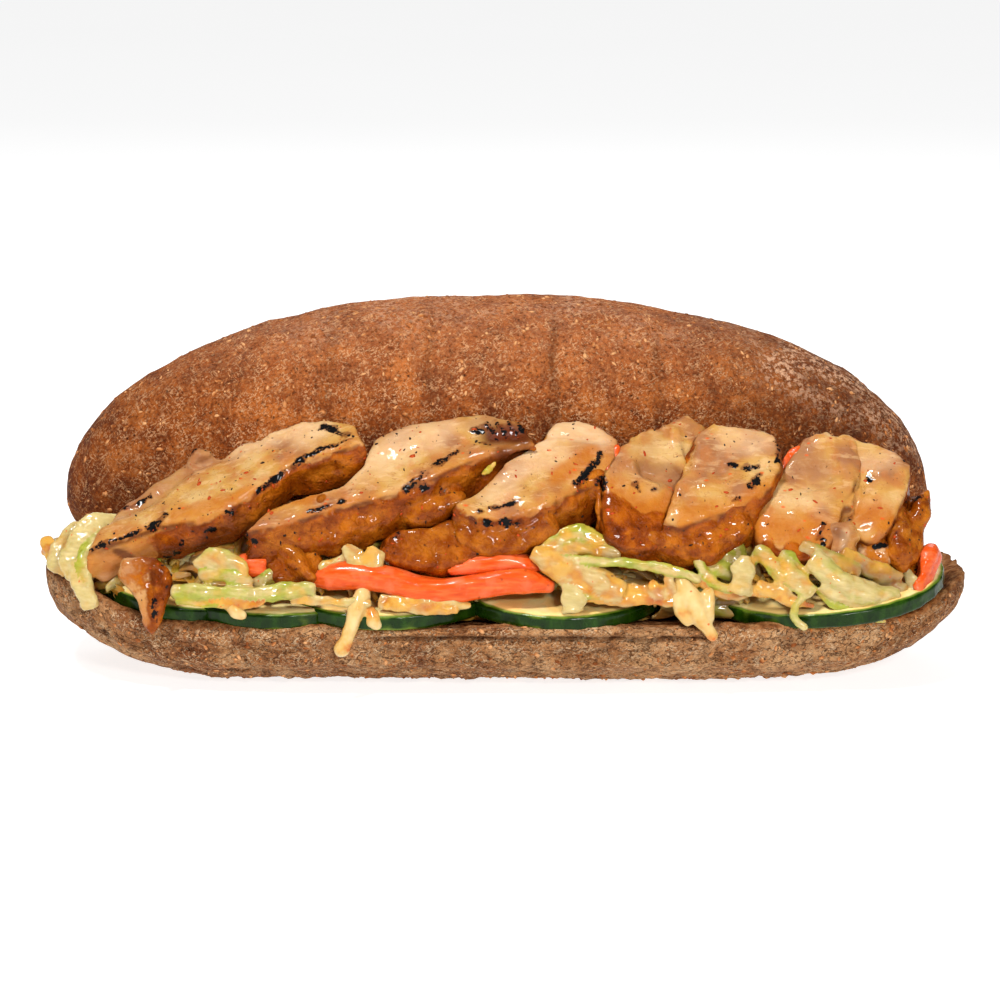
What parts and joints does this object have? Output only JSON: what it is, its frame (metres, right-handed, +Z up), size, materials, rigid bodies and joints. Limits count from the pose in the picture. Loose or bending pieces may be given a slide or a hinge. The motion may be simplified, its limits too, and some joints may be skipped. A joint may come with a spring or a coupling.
{
  "type": "banh mi sandwich",
  "caption": "Soft brown torpedo roll, split and hinged along the back, filled with grilled chicken slices, carrot, shredded cabbage and cucumber.",
  "frame": {"origin": "on the surface it rests on, under the middle of its box", "axes": "+X along the roll's length, -Y towards the open, filled side, +Y towards the hinge, +Z up"},
  "size_m": [0.2014, 0.074, 0.0792],
  "materials": {
    "crust": "matt",
    "cooked_meat": "moist",
    "grilled_skin": "glossy",
    "cucumber": "glossy",
    "carrot": "glossy",
    "cabbage": "moist",
    "sauce": "glossy"
  },
  "bodies": {
    "root": {"bun": "crust", "chicken_slice_1": "cooked_meat", "chicken_slice_2": "cooked_meat", "chicken_slice_3": "cooked_meat", "chicken_slice_4": "cooked_meat", "chicken_slice_5": "cooked_meat", "chicken_slice_6": "cooked_meat", "chicken_slice_7": "cooked_meat", "chicken_knob": "cooked_meat", "chicken_chunk": "cooked_meat", "chicken_flap": "grilled_skin", "chicken_scrap": "grilled_skin", "chicken_lobe": "grilled_skin", "chicken_skin": "grilled_skin", "cucumber_slice_1": "cucumber", "cucumber_slice_2": "cucumber", "cucumber_slice_3": "cucumber", "cucumber_slice_4": "cucumber", "cucumber_slice_5": "cucumber", "carrot_strip_long": "carrot", "carrot_strip_upper": "carrot", "carrot_chunk": "carrot", "carrot_wedge": "carrot", "cabbage_bed": "cabbage"}
  },
  "joints": []
}
